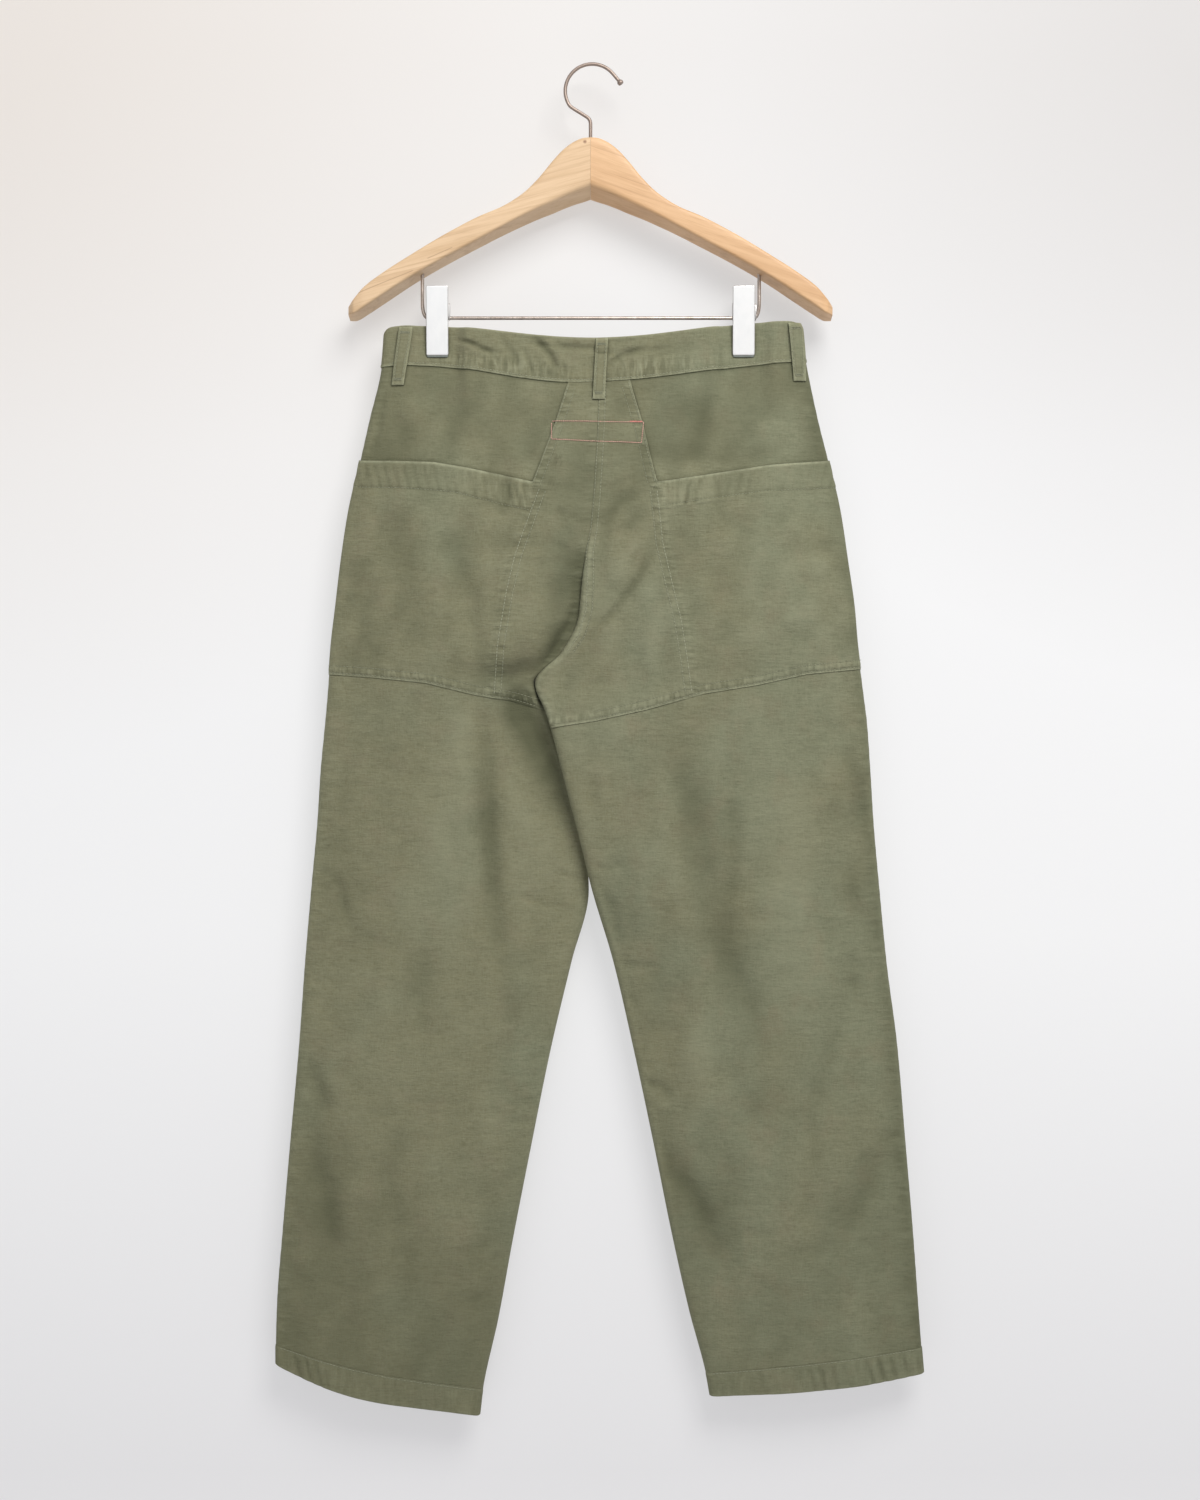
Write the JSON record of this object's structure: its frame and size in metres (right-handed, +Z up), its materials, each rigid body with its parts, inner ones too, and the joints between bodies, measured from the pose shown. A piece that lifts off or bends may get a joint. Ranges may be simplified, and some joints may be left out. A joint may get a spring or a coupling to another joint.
{
  "type": "climbing trousers on a wooden clip hanger",
  "caption": "Straight-leg cotton climbing trousers with wide seat patches and open back pockets, hanging by the waist from a wooden clip hanger.",
  "frame": {"origin": "the inner top of the hanger's hook, where a nail, peg or rail carries the weight", "axes": "+X along the hanger, -Y toward a viewer of the garment's back, +Z up"},
  "size_m": [0.5966, 0.0475, 1.2434],
  "materials": {
    "olive_cotton": "matt sateen with a fine cross grain",
    "button_horn": "semi-gloss",
    "pale_wood": "clear satin lacquer",
    "amber_wood": "clear satin lacquer",
    "wire_steel": "satin nickel",
    "clip_metal": "polished"
  },
  "bodies": {
    "root": {"back_left": "olive_cotton", "back_right": "olive_cotton", "front_left": "olive_cotton", "front_right": "olive_cotton", "seat_patch_left": "olive_cotton", "seat_patch_right": "olive_cotton", "pocket_band_left": "olive_cotton", "pocket_band_right": "olive_cotton", "waistband_back": "olive_cotton", "waistband_front_left": "olive_cotton", "waistband_front_right": "olive_cotton", "belt_loop_left": "olive_cotton", "belt_loop_centre": "olive_cotton", "belt_loop_right": "olive_cotton", "belt_loop_front_left": "olive_cotton", "belt_loop_front_right": "olive_cotton", "hem_left": "olive_cotton", "hem_right": "olive_cotton", "fly_flap": "olive_cotton", "waist_button": "button_horn", "hanger_arm_left": "pale_wood", "hanger_arm_right": "amber_wood", "hanger_hook": "wire_steel", "clip_bar": "wire_steel", "clip_plate_left": "clip_metal", "clip_jaw_left": "clip_metal", "clip_plate_right": "clip_metal", "clip_jaw_right": "clip_metal"}
  },
  "joints": []
}
